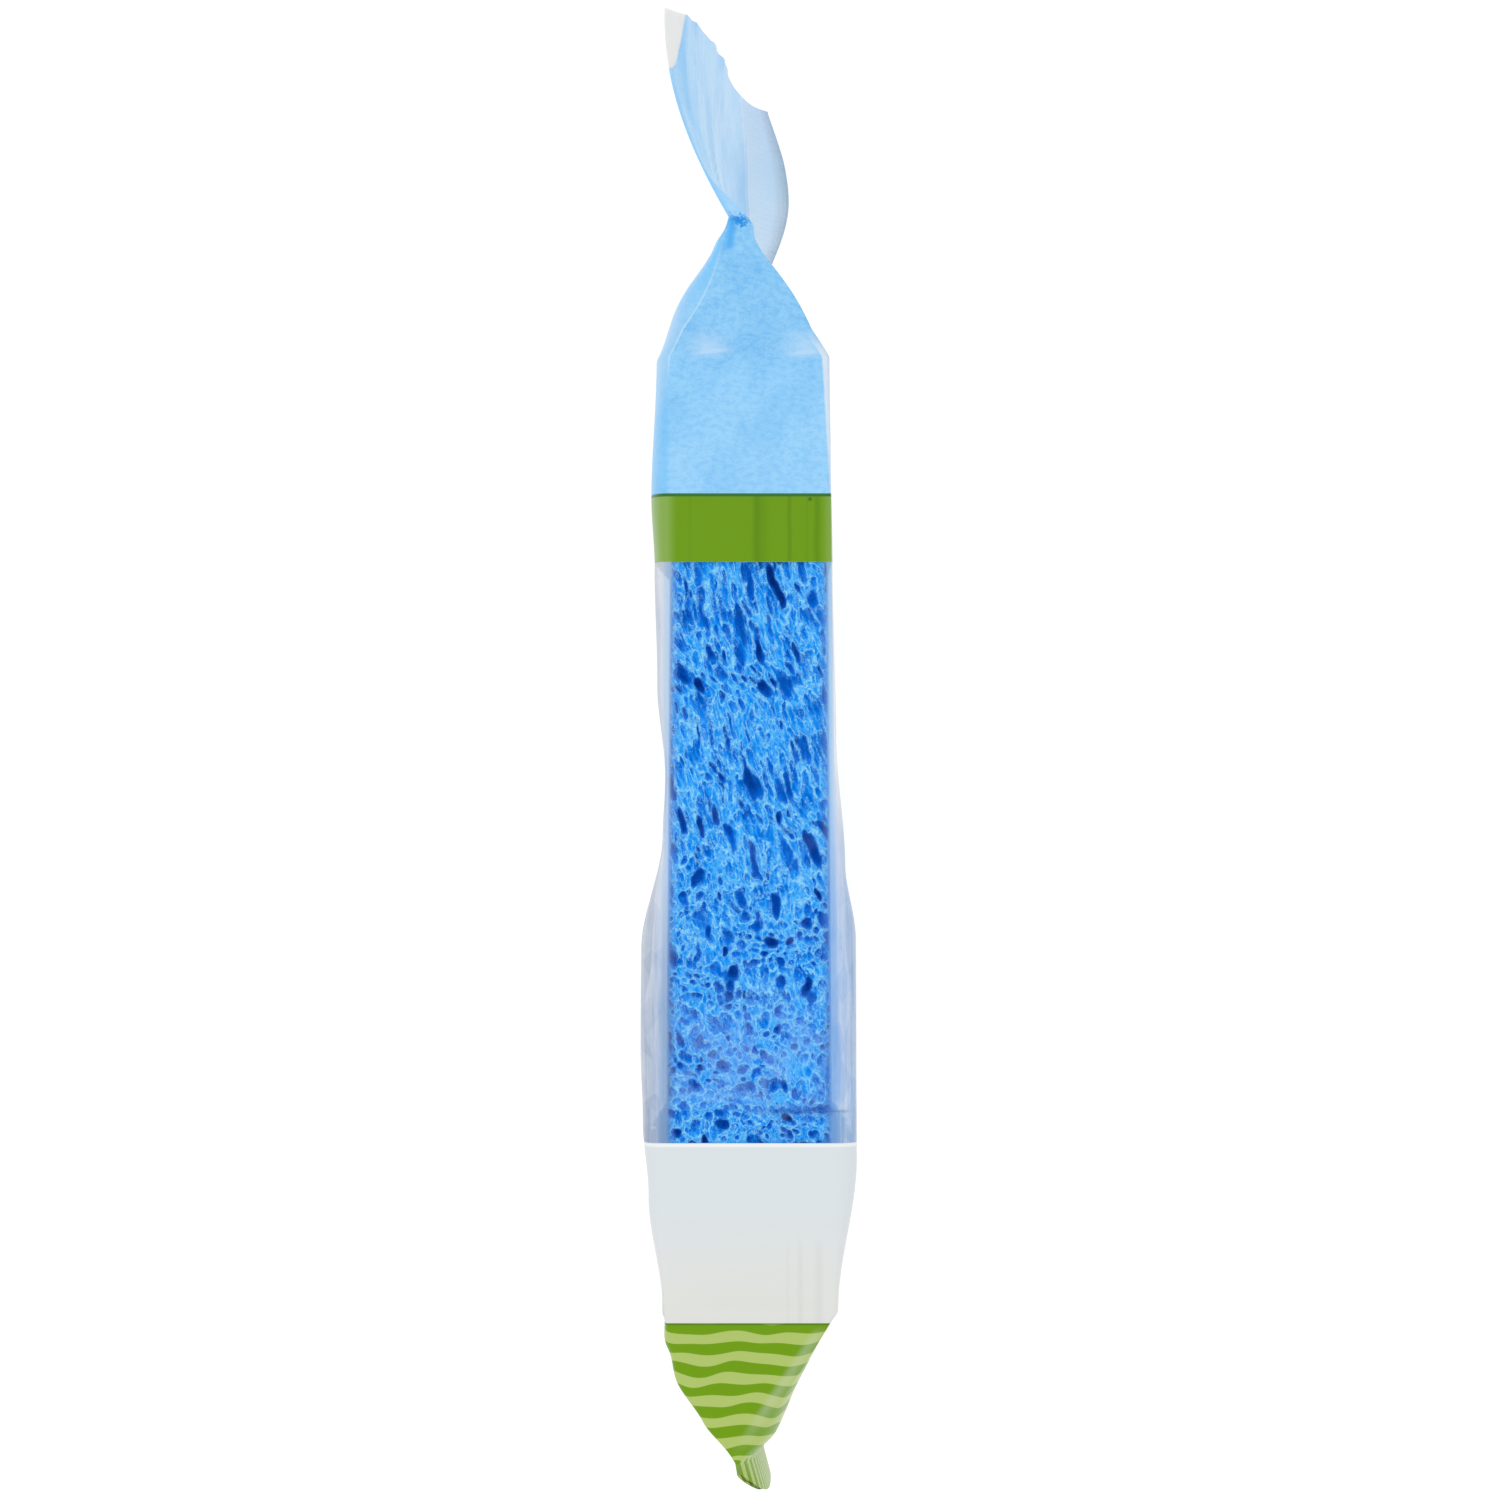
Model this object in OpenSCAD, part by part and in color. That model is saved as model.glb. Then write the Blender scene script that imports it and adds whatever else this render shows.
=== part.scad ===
// Cellulose bath sponge sealed in a printed film wrapper, resting on one of its long narrow sides.
// X runs through the sponge's thickness, Y along its length towards the header, Z up its width.
// The origin is the middle of the flat strip that the pack rests on.

/* [Sponge] */
// Length of the sponge block
sponge_l = 153; // [120:1:200]
// Width of the sponge block, which stands upright in the pack
sponge_w = 105; // [70:1:130]
// Thickness of the sponge at its head end, where the film pulls it in
head_t = 25; // [18:0.5:40]
// Thickness of the sponge at its foot end
foot_t = 27; // [18:0.5:40]

/* [Pores] */
// Radius of the largest pores' channels
pore_r = 1.3; // [0.8:0.1:1.6]
// Spacing of the pores along the grain
pore_step = 13; // [11:0.5:20]
// Spacing of the rows of pores across the grain
pore_row = 7.4; // [6:0.1:11]
// Length of a pore's channel
pore_l = 8; // [5:0.5:9]
// How much wider apart the pores stand on the wide sides
wide_spread = 1.35; // [1.2:0.05:2]
// Angle between the grain and the sponge's length
grain_tilt = 16; // [0:1:25]
// Angle at which a pore dives below the surface
pore_dive = 23; // [20:1:35]

/* [Film] */
// Thickness of the film wall
film_t = 0.3; // [0.2:0.05:0.5]
// Clearance between the film and the sponge
film_fit = 0.3; // [0.2:0.05:1]
// Width of the back seal, folded flat on the right wide side
seal_w = 12; // [6:1:20]
// How far the film stands off the left wide side at its fullest
left_slack = 4; // [0:0.5:8]
// How far the film stands off the right wide side at its fullest
right_slack = 4; // [0:0.5:8]

/* [Ends] */
// Length of the tapered pocket beyond the sponge at the head
head_pocket = 21; // [16:1:36]
// Length of the tapered pocket beyond the sponge at the foot
foot_pocket = 22; // [16:1:36]
// Length of the flat header above the head seal
header_l = 33; // [12:1:50]
// Length of the crimped foot seal
foot_seal_l = 7; // [6:0.1:20]
// Sideways lean of the header's upper edge
header_lean = 8.8; // [2:0.2:14]
// Extra curl of the header's upper corner
header_curl = 4.5; // [1:0.5:8]
// Sideways turn of the header's lower edge, where it meets the floor
header_tail = 7; // [3:0.5:10]
// How far the foot seal's upper corner is folded down
foot_fold = 3; // [0:1:16]

/* [Hidden] */
$fn = 48;

SPONGE_BLUE = [0.16, 0.55, 0.93];
FILM_TINT = [0.62, 0.82, 0.97, 0.45];

// ---------- shared places ----------
seat_z = film_t + film_fit;              // height of the sponge's underside
head_end = sponge_l / 2;                 // Y of the sponge's two ends
foot_end = -sponge_l / 2;
tube_top = 2 * seat_z + sponge_w;        // height of the film over the upper narrow side
pocket_start = film_fit;                 // the film stays full just past each end
head_seal = head_end + pocket_start + head_pocket;
foot_seal = foot_end - pocket_start - foot_pocket;
head_cut = head_seal + header_l;
foot_cut = foot_seal - foot_seal_l;

function mix(a, b, k) = a + (b - a) * k;
function clamp(v) = max(0, min(1, v));
function ease(k) = k * k * (3 - 2 * k);

// Value at k of a table of [place, value] rows, eased between its rows.
function eased(table, k, i = 0) =
    k <= table[0][0] ? table[0][1]
    : i >= len(table) - 1 ? table[len(table) - 1][1]
    : k <= table[i + 1][0]
        ? mix(table[i][1], table[i + 1][1],
              ease((k - table[i][0]) / (table[i + 1][0] - table[i][0])))
    : eased(table, k, i + 1);

// ---------- sponge ----------
function sponge_t(y) = mix(foot_t, head_t, clamp((y - foot_end) / sponge_l));

module sponge_block() {
    translate([0, 0, seat_z])
        linear_extrude(sponge_w)
            polygon([[-foot_t / 2, foot_end], [foot_t / 2, foot_end],
                     [head_t / 2, head_end], [-head_t / 2, head_end]]);
}

// One pore: a channel that runs with the grain and dives below a face lying in the XY plane.
module pore(r) {
    mouth_lead = r / tan(pore_dive) + 0.5;
    rotate([0, 0, -grain_tilt])
        rotate([90 + pore_dive, 0, 0])
            translate([0, 0, -mouth_lead])
                cylinder(h = pore_l + mouth_lead, r = r, $fn = 7);
}

// Pores over a face of the given width and length, in staggered rows with a seeded scatter.
module face_pores(width, length, seed, spread = 1) {
    row = pore_row * spread;
    step = pore_step * spread;
    rows = max(1, floor((width - 2 * pore_r) / row));
    steps = max(1, floor((length - 2 * pore_r) / step));
    scatter = rands(0, 1, rows * steps * 3, seed);
    for (i = [0 : rows - 1], j = [0 : steps - 1]) {
        k = 3 * (i * steps + j);
        stagger = i % 2 == 0 ? -0.22 : 0.22;
        x = (i - (rows - 1) / 2 + 0.3 * (scatter[k] - 0.5)) * row;
        y = (j - (steps - 1) / 2 + stagger + 0.25 * (scatter[k + 1] - 0.5)) * step;
        translate([x, y, 0])
            pore(pore_r * mix(0.6, 1, scatter[k + 2]));
    }
}

module sponge() {
    wall_lean = atan((foot_t - head_t) / 2 / sponge_l);
    mean_t = (foot_t + head_t) / 2;
    color(SPONGE_BLUE)
        difference() {
            sponge_block();
            translate([0, 0, seat_z + sponge_w])
                face_pores(head_t, sponge_l, 11);
            translate([0, 0, seat_z])
                rotate([0, 180, 0]) face_pores(head_t, sponge_l, 12);
            for (side = [-1, 1])
                translate([side * mean_t / 2, 0, seat_z + sponge_w / 2])
                    rotate([0, 0, side * wall_lean])
                        rotate([0, side * 90, 0])
                            face_pores(sponge_w, sponge_l, 20 + side, wide_spread);
            for (end = [-1, 1])
                translate([0, end * sponge_l / 2, seat_z + sponge_w / 2])
                    rotate([-end * 90, 0, 0]) face_pores(head_t, sponge_w, 30 + end);
        }
}

// ---------- film wrapper ----------
// Place along the pack: -2 foot cut, -1 foot seal, 0 and 1 the sponge's ends, 2 head seal, 3 head cut.
function place(y) =
    y < foot_seal ? -1 - (foot_seal - y) / foot_seal_l
    : y < foot_end ? -min(1, (foot_end - y) / foot_pocket)
    : y <= head_end ? (y - foot_end) / sponge_l
    : y <= head_seal ? 1 + min(1, (y - head_end) / head_pocket)
    : 2 + (y - head_seal) / header_l;

// How flat the tube is: 0 around the sponge, 1 where its two walls meet at the seals.
function flatness(y) =
    clamp(max((y - head_end - pocket_start) / head_pocket,
              (foot_end - pocket_start - y) / foot_pocket));

// Stand-off of each wide side as a share of its slack, along the pack.
LEFT_STAND = [[-1, 0.2], [-0.75, 0.7], [-0.5, 0.95], [-0.25, 0.6], [0, 0], [0.12, 0.6], [0.2, 0.85],
              [0.28, 0.96], [0.38, 0.96], [0.5, 0.13], [0.56, 0.04], [0.66, 0.4], [0.78, 0.54],
              [0.86, 0.7], [1, 0.53], [1.4, 0.85], [1.85, 0.4], [2, 0]];
RIGHT_STAND = [[-1, 0], [-0.85, 0.3], [-0.5, 0.12], [-0.08, 0.02], [0, 0.12], [0.16, 0.91], [0.39, 0.93],
               [0.47, 0.52], [0.6, 0.2], [0.78, 0.09], [0.9, 0.05], [1, 0]];
// Depth at which each wide side stands off furthest, along the pack.
LEFT_DROP = [[-1, 2], [0.3, 3], [0.5, 5], [0.8, 8], [1, 10], [1.4, 18]];
RIGHT_DROP = [[-1, 6], [0, 3], [0.4, 4], [1, 6]];

// Half thickness of the tube, outside the film, without its stand-off.
function tube_half(y) =
    film_t + (film_fit + sponge_t(y) / 2) * (1 - flatness(y));

// Height of the pack's upper edge: the tube's panel rises as it flattens into a seal.
function tube_height(y) =
    tube_top + flatness(y) * sponge_t(y) / 2 - foot_fold * clamp(-1 - place(y));

// Sideways shape of the flattened film. A lean falls evenly from the upper edge to the floor, and
// a curl at the upper edge and a tail at the floor die away over this share of the depth.
EDGE_FADE = 0.07;
// The header: share of its lean at the seal, curl at the seal, tail at the seal and at the cut,
// and how far the tail's fullest bend falls short of header_tail.
SEAL_LEAN = 0.26;
SEAL_CURL = 0.8;
SEAL_TAIL = 2.2;
CUT_TAIL = 3.4;
TAIL_EASE = 2.8;
// The foot: lean of the whole end, how much less it is at the cut, and tail at the floor.
FOOT_LEAN = 1.8;
FOOT_CUT_LEAN = 0.2;
FOOT_TAIL = 3;
// Below its upper edge the foot bellies out to the right over a share FOOT_FADE of the depth, more
// so by the cut, and comes back from BELLY_FROM over the next BELLY_OVER of the depth.
FOOT_BELLY = 3.5;
CUT_BELLY = 1.6;
FOOT_FADE = 0.05;
BELLY_FROM = 0.25;
BELLY_OVER = 0.6;
// How far the foot seal's upper corner is drawn back along the pack.
CORNER_PULL = 5;

// Sideways line of the flattened film at depth share q, from 0 at its upper edge to 1 at the floor.
function sway(y, q) =
    let (
        p = place(y),
        root = ease(flatness(y)),
        up = clamp(p - 2),
        down = clamp(-1 - p),
        foot = p < 0,
        lean = header_lean * mix(SEAL_LEAN * root, 1, 1 - pow(1 - up, 2)),
        curl = root * (SEAL_CURL + (header_curl - SEAL_CURL) * sin(100 * up)),
        tail = root * (mix(SEAL_TAIL, CUT_TAIL, up) + (header_tail - TAIL_EASE) * pow(sin(180 * up), 1.2)),
        belly = (FOOT_BELLY + CUT_BELLY * down) * (1 - exp(-q / FOOT_FADE))
                * (1 - ease(clamp((q - BELLY_FROM) / BELLY_OVER))),
        floor = exp((q - 1) / EDGE_FADE)
    )
    foot ? root * (belly - FOOT_LEAN + FOOT_CUT_LEAN * down - FOOT_TAIL * floor)
         : -lean * (1 - q) - curl * exp(-q / EDGE_FADE) + tail * floor;

// Rows above and below the back seal on a wide side, and the height of the step at its edges.
SIDE_STEPS = 4;
LAP_EDGE = 0.05;
// How full the fall of a wide side is: under 1 stays out longer and turns in later.
FALL_POWER = 0.8;

// One wide side as [stand-off share, depth, back seal share], from the near corner down.
function side_rows(drop, bottom, lap) =
    let (
        lap_top = (bottom - seal_w) / 2,
        lap_bottom = lap_top + seal_w,
        fall = function (d) pow(cos(90 * (d - drop) / (bottom - drop + 0.01)), FALL_POWER)
    )
    concat(
        [for (t = [0 : 22.5 : 67.5]) [sin(t), drop * (1 - cos(t)), 0]],
        [for (i = [0 : SIDE_STEPS - 1])
            let (d = mix(drop, lap_top, i / SIDE_STEPS)) [fall(d), d, 0]],
        [[fall(lap_top), lap_top, 0],
         [fall(lap_top), lap_top + LAP_EDGE, lap],
         [fall(lap_bottom), lap_bottom - LAP_EDGE, lap],
         [fall(lap_bottom), lap_bottom, 0]],
        [for (i = [1 : SIDE_STEPS])
            let (d = mix(lap_bottom, bottom, i / SIDE_STEPS)) [fall(d), d, 0]]
    );

// Half of a ring as [offset, depth], down one wide side. inset is 0 on the film's outside and
// film_t on its inside.
function half_ring(y, side, inset) =
    let (
        a = tube_half(y) - inset,
        bottom = tube_height(y) - 2 * inset,
        p = place(y),
        stand = side < 0 ? left_slack * eased(LEFT_STAND, p) : right_slack * eased(RIGHT_STAND, p),
        drop = eased(side < 0 ? LEFT_DROP : RIGHT_DROP, p),
        lap = inset == 0 && side > 0 ? 1 : 0
    )
    [for (r = side_rows(drop, bottom, lap)) [a + stand * r[0] + r[2] * 2 * film_t, r[1] + inset]];

// Point of the film at depth d below its upper edge and offset o from its middle line.
function film_point(y, o, d) =
    let (
        q = d / tube_height(y),
        pulled = y + CORNER_PULL * clamp(-1 - place(y)) * exp(-q / FOOT_FADE)
    )
    [sway(y, q) + o, pulled, tube_height(y) - d];

// Whole ring at y: down the right side and back up the left.
function ring(y, inset) =
    let (
        right = half_ring(y, 1, inset),
        left = half_ring(y, -1, inset)
    )
    concat(
        [for (p = right) film_point(y, p[0], p[1])],
        [for (i = [len(left) - 1 : -1 : 0]) film_point(y, -left[i][0], left[i][1])]
    );

// Flat end of a loft: strips across the ring from its right half to its left half.
function end_cap(n, first, flip) =
    [for (i = [0 : n / 2 - 2])
        let (
            a = first + i,
            b = first + n - 1 - i
        )
        for (f = [[a, a + 1, b - 1], [a, b - 1, b]])
            flip ? [f[0], f[2], f[1]] : f];

// Closed solid through a list of rings.
module loft(rings) {
    n = len(rings[0]);
    last = (len(rings) - 1) * n;
    sides = [for (j = [0 : len(rings) - 2], i = [0 : n - 1])
        let (a = j * n + i, b = j * n + (i + 1) % n)
        each [[a, b + n, b], [a, a + n, b + n]]];
    ends = concat(end_cap(n, 0, false), end_cap(n, last, true));
    polyhedron([for (r = rings) each r], concat(sides, ends));
}

// Stations along Y, in even steps between the places where the shape changes.
function stations(marks, steps) =
    concat([for (k = [0 : len(steps) - 1], i = [0 : steps[k] - 1])
        mix(marks[k], marks[k + 1], i / steps[k])], [marks[len(marks) - 1]]);

// The hollow stops where its two walls would meet.
PINCH = 0.96;
OUTSIDE = stations(
    [foot_cut, foot_seal, foot_end - pocket_start, head_end + pocket_start, head_seal, head_cut],
    [3, 5, 12, 5, 6]);
INSIDE = stations(
    [mix(foot_end - pocket_start, foot_seal, PINCH), foot_end - pocket_start,
     head_end + pocket_start, mix(head_end + pocket_start, head_seal, PINCH)],
    [5, 12, 5]);

module film_wrapper() {
    color(FILM_TINT)
        difference() {
            loft([for (y = OUTSIDE) ring(y, 0)]);
            loft([for (y = INSIDE) ring(y, film_t)]);
        }
}

sponge();
film_wrapper();
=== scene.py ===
"""A cellulose bath sponge sealed in a printed film wrapper, lying on a long narrow side."""
import math

import bpy
import numpy as np
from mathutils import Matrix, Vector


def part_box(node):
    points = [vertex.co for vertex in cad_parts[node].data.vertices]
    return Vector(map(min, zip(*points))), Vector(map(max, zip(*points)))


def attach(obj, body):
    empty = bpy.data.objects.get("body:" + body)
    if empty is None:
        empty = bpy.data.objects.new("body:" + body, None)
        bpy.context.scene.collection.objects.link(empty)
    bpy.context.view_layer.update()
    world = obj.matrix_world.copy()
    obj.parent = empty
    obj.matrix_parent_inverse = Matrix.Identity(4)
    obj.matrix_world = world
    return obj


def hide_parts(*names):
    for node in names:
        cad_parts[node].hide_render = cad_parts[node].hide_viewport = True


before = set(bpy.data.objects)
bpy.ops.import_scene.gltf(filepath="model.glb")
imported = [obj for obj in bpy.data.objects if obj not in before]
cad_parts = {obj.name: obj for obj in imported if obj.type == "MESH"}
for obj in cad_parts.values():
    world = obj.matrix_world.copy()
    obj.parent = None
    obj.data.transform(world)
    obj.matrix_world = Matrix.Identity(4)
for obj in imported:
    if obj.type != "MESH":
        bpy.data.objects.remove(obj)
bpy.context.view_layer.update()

# ---------------------------------------------------------------------------
# Places, in millimetres
# ---------------------------------------------------------------------------
MM = 0.001
sponge_low, sponge_high = (np.array(c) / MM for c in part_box("sponge"))
film_low, film_high = (np.array(c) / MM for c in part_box("film_wrapper"))

SPONGE_L = sponge_high[1] - sponge_low[1]
HEAD_END, FOOT_END = sponge_high[1], sponge_low[1]
NEAR_FACE = sponge_high[2]      # height of the narrow side that faces up
SEAT = sponge_low[2]            # height of the narrow side underneath
FOOT_T = sponge_high[0] - sponge_low[0]
HEAD_T = FOOT_T - 2.0

FILM_FIT = 0.3                  # from the sponge to the middle of the film
HEAD_POCKET, FOOT_POCKET = 21.0, 22.0
POCKET_START = 0.3
HEAD_SEAL = HEAD_END + POCKET_START + HEAD_POCKET
FOOT_SEAL = FOOT_END - POCKET_START - FOOT_POCKET
HEAD_CUT, FOOT_CUT = film_high[1], film_low[1]
HEADER_L = HEAD_CUT - HEAD_SEAL
FOOT_SEAL_L = FOOT_SEAL - FOOT_CUT
TUBE_TOP = NEAR_FACE + FILM_FIT
LAP = 12.0                      # width of the back seal


# ---------------------------------------------------------------------------
# Small maths
# ---------------------------------------------------------------------------
def clamp(v):
    return np.clip(v, 0.0, 1.0)


def ease(v):
    """Smooth step: 3v^2 - 2v^3 between 0 and 1."""
    v = clamp(v)
    return v * v * (3 - 2 * v)


def mix(a, b, k):
    return a + (b - a) * k


def eased(table, k):
    """Value at k of rows of (place, value), eased between its rows."""
    places = [row[0] for row in table]
    values = [row[1] for row in table]
    out = np.full(np.shape(k), float(values[0]))
    for i in range(len(table) - 1):
        out = out + (values[i + 1] - values[i]) * ease((k - places[i]) / (places[i + 1] - places[i]))
    return out


def lattice_noise(p, q, seed):
    """Value noise from -1 to 1: random numbers on a unit lattice, eased between its points."""
    table = np.random.default_rng(seed).uniform(-1, 1, (64, 64))
    i, j = np.floor(p).astype(int), np.floor(q).astype(int)
    f, g = ease(p - i), ease(q - j)
    a, b = table[i % 64, j % 64], table[(i + 1) % 64, j % 64]
    c, d = table[i % 64, (j + 1) % 64], table[(i + 1) % 64, (j + 1) % 64]
    return mix(mix(a, b, f), mix(c, d, f), g)


def cells(p, q, seed, least, most, kept):
    """Round cells scattered over a unit lattice, one to a square, each with a radius between least and
    most and only the share kept of them. Gives the distance to the nearest and the second nearest cell's
    middle over that cell's radius, the nearest cell's random number, and how far the point lies along
    the grain from its middle, from -1 to 1."""
    table = np.random.default_rng(seed).random((64, 64, 5))
    i, j = np.floor(p).astype(int), np.floor(q).astype(int)
    near, second = np.full(p.shape, 9.0), np.full(p.shape, 9.0)
    own, side = np.zeros(p.shape), np.zeros(p.shape)
    for a in (-1, 0, 1):
        for b in (-1, 0, 1):
            r = table[(i + a) % 64, (j + b) % 64]
            radius = np.where(r[..., 4] < kept, least + (most - least) * r[..., 2], 0.01)
            up = (q - (j + b + 0.1 + 0.8 * r[..., 1])) / radius
            away = np.hypot((i + a + 0.1 + 0.8 * r[..., 0] - p) / radius, up)
            closer = away < near
            second = np.where(closer, near, np.minimum(second, away))
            own = np.where(closer, r[..., 3], own)
            side = np.where(closer, up, side)
            near = np.minimum(near, away)
    return near, second, own, np.clip(side, -1, 1)


# ---------------------------------------------------------------------------
# Meshes
# ---------------------------------------------------------------------------
def new_piece(name, points_mm, faces, attributes, material, smooth=True):
    """Mesh object at the origin from points in millimetres and faces of three or four corners."""
    mesh = bpy.data.meshes.new(name)
    faces = faces.tolist() if isinstance(faces, np.ndarray) else faces
    mesh.from_pydata((points_mm * MM).tolist(), [], faces)
    for key, values in attributes.items():
        layer = mesh.attributes.new(key, "FLOAT", "POINT")
        layer.data.foreach_set("value", np.ascontiguousarray(values, dtype=np.float32))
    mesh.polygons.foreach_set("use_smooth", np.full(len(mesh.polygons), smooth))
    mesh.materials.append(material)
    mesh.update()
    piece = bpy.data.objects.new(name, mesh)
    bpy.context.scene.collection.objects.link(piece)
    return piece


def grid_faces(rows, cols):
    """Quads between neighbours of a grid of points numbered row by row."""
    a = (np.arange(rows - 1)[:, None] * cols + np.arange(cols - 1)).ravel()
    return np.stack([a, a + 1, a + cols + 1, a + cols], axis=1)


# ---------------------------------------------------------------------------
# Shader nodes
# ---------------------------------------------------------------------------
class Value:
    """A number socket. Adding, multiplying and so on adds its Math nodes."""

    def __init__(self, nodes, socket):
        self.nodes, self.socket = nodes, socket

    def _math(self, operation, *others):
        return self.nodes.add("ShaderNodeMath", {"operation": operation}, [self, *others])

    def __add__(self, other):
        return self._math("ADD", other)

    __radd__ = __add__

    def __mul__(self, other):
        return self._math("MULTIPLY", other)

    __rmul__ = __mul__

    def __sub__(self, other):
        return self._math("SUBTRACT", other)

    def __rsub__(self, other):
        return self.nodes.add("ShaderNodeMath", {"operation": "SUBTRACT"}, [other, self])

    def __truediv__(self, other):
        return self._math("DIVIDE", other)

    def __pow__(self, other):
        return self._math("POWER", other)

    def sine(self):
        return self._math("SINE")

    def absolute(self):
        return self._math("ABSOLUTE")

    def wrapped(self):
        return self._math("FRACT")

    def least(self, other):
        return self._math("MINIMUM", other)

    def most(self, other):
        return self._math("MAXIMUM", other)

    def near(self, middle, reach):
        """1 at middle, eased down to 0 at reach to either side of it."""
        return (self - middle).absolute().step(reach, 0.0)

    def step(self, low, high):
        """0 below low, 1 above high, eased between them; the other way round when low is the higher."""
        return self.nodes.add(
            "ShaderNodeMapRange", {"interpolation_type": "SMOOTHSTEP"}, [self, low, high, 0.0, 1.0]
        )


class Nodes:
    """The node tree of one material."""

    def __init__(self, name):
        self.material = bpy.data.materials.new(name)
        self.material.use_nodes = True
        self.tree = self.material.node_tree
        self.tree.nodes.clear()

    def add(self, kind, settings=None, inputs=(), output=0):
        """A node of that kind. settings are set first; inputs are by place, or by name in a dict."""
        node = self.tree.nodes.new(kind)
        for key, value in (settings or {}).items():
            if key == "stops":
                ramp = node.color_ramp
                while len(ramp.elements) > 1:
                    ramp.elements.remove(ramp.elements[-1])
                for n, (place, colour) in enumerate(value):
                    stop = ramp.elements[0] if n == 0 else ramp.elements.new(place)
                    stop.position, stop.color = place, (*colour, 1.0)
            else:
                setattr(node, key, value)
        pairs = inputs.items() if isinstance(inputs, dict) else enumerate(inputs)
        for key, value in pairs:
            if isinstance(value, Value):
                self.tree.links.new(value.socket, node.inputs[key])
            elif value is not None:
                node.inputs[key].default_value = value
        return Value(self, node.outputs[output]) if node.outputs else None

    def attribute(self, name):
        return self.add("ShaderNodeAttribute", {"attribute_name": name}, output="Fac")

    def place(self):
        """Object coordinates in millimetres."""
        where = self.add("ShaderNodeTexCoord", output="Object")
        return self.add("ShaderNodeVectorMath", {"operation": "SCALE"}, {0: where, "Scale": 1 / MM})

    def noise(self, where, scale, detail=2.0, roughness=0.5):
        return self.add(
            "ShaderNodeTexNoise", {},
            {"Vector": where, "Scale": scale, "Detail": detail, "Roughness": roughness},
        )

    def colour(self, fac, a, b):
        """Colour mix; a and b are sockets or linear colours."""
        put = [c if isinstance(c, Value) else (*c, 1.0) for c in (a, b)]
        node = self.tree.nodes.new("ShaderNodeMix")
        node.data_type = "RGBA"
        for key, value in ((0, fac), (6, put[0]), (7, put[1])):
            if isinstance(value, Value):
                self.tree.links.new(value.socket, node.inputs[key])
            else:
                node.inputs[key].default_value = value
        return Value(self, node.outputs[2])

    def blend(self, fac, a, b):
        return self.add("ShaderNodeMixShader", {}, [fac, a, b])

    def finish(self, surface):
        self.add("ShaderNodeOutputMaterial", {}, [surface])
        return self.material


def srgb(r, g, b):
    """Linear colour from 0-255 values."""
    c = np.array([r, g, b]) / 255
    return tuple(np.where(c <= 0.04045, c / 12.92, ((c + 0.055) / 1.055) ** 2.4).tolist())


# ---------------------------------------------------------------------------
# Sponge
# ---------------------------------------------------------------------------
WINDOW_LOW, WINDOW_HIGH = -49.4, 43.9   # the clear window's ends along the pack
LONG_TO, ROUND_FROM = 3.0, -16.0        # long slanted cells give way to round ones between these
LONG_STRETCH, ROUND_STRETCH = 2.9, 1.5  # how far each kind is stretched along the grain
LONG_TILT, ROUND_TILT = 17.0, 3.0       # the grain's tilt, in degrees
ROUND_SWELL = 1.25                      # how much wider the round cells are
# Cells by size: pitch, depth, least and most radius over the pitch, share kept
CELL_SIZES = (
    (4.2, 1.9, 0.15, 0.31, 0.5),
    (2.2, 1.5, 0.22, 0.44, 0.8),
    (1.2, 1.0, 0.28, 0.52, 0.92),
)


def pore_relief(x, y, seed):
    """Depth of the open cells below a cut face, the signed distances in millimetres to the nearest cell's
    edge and to the wall between two cells that meet, and how far the surface faces the light at the head
    end, from -1 to 1, which the sponge's colour takes up as painted light and shade.

    The face's coordinates are stretched along the grain, sheared by its tilt, swelled where the cells
    are round and pushed about by noise. Three sizes of cells are cut there, each between the larger
    ones. A cell is as deep as a power of one less the squared distance over its radius."""
    line = np.linspace(-90, 90, 1801)
    turn = ease((LONG_TO - line) / (LONG_TO - ROUND_FROM))
    swell = mix(1.0, ROUND_SWELL, turn)
    along_line = np.cumsum(1 / mix(LONG_STRETCH, ROUND_STRETCH, turn)) * 0.1
    shear_line = np.cumsum(np.tan(np.radians(mix(LONG_TILT, ROUND_TILT, turn)))) * 0.1
    bent = y + 2.5 * lattice_noise(x / 7, y / 7, seed + 60)
    along = np.interp(bent, line, along_line)
    across = (x + np.interp(bent, line, shear_line)) / np.interp(bent, line, swell)
    for size, push_x, push_y, k in ((1.9, 0.5, 0.34, 50), (0.7, 0.17, 0.1, 52)):
        across = across + push_x * lattice_noise(x / size, y / size / 1.35, seed + k)
        along = along + push_y * lattice_noise(x / size, y / size / 1.35, seed + k + 1)
    depth, edge, wall, lit = 0 * x, 9 + 0 * x, 9 + 0 * x, 0 * x
    for k, (pitch, deep, least, most, kept) in enumerate(CELL_SIZES):
        near, second, own, side = cells(
            across / pitch + 7.3 * k, along / pitch + 3.1 * k, seed + k, least, most, kept)
        bowl = np.maximum(0, 1 - near ** 2) ** 0.75 * deep * (0.2 + 0.8 * own ** 2.2)
        radius = pitch * (least + most) / 2
        wall = np.where((near < 1) & (edge > 0), np.minimum(wall, (second - near) * radius), wall)
        # Painted light and shade: within each cell the wall towards the foot end, which faces the light at
        # the head end, is made lighter and the wall towards the head end darker
        lit = mix(lit, -side, ease((1 - near) / 0.4) * np.where(edge > 0, 1.0, 0.25))
        edge = np.minimum(edge, (near - 1) * radius)
        depth = np.maximum(depth, bowl) + 0.3 * np.minimum(depth, bowl)
    return depth, clamp(edge / 2 + 0.5) * 2 - 1, clamp(wall), lit


def spaced(low, high, step, fine=None):
    """Places from low to high, about step apart, or closer inside fine = (low, high, step)."""
    if fine is None:
        return np.linspace(low, high, max(2, round((high - low) / step) + 1))
    before, inside, after = spaced(low, fine[0], step), spaced(*fine), spaced(fine[1], high, step)
    return np.concatenate([before[:-1], inside, after[1:]])


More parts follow.
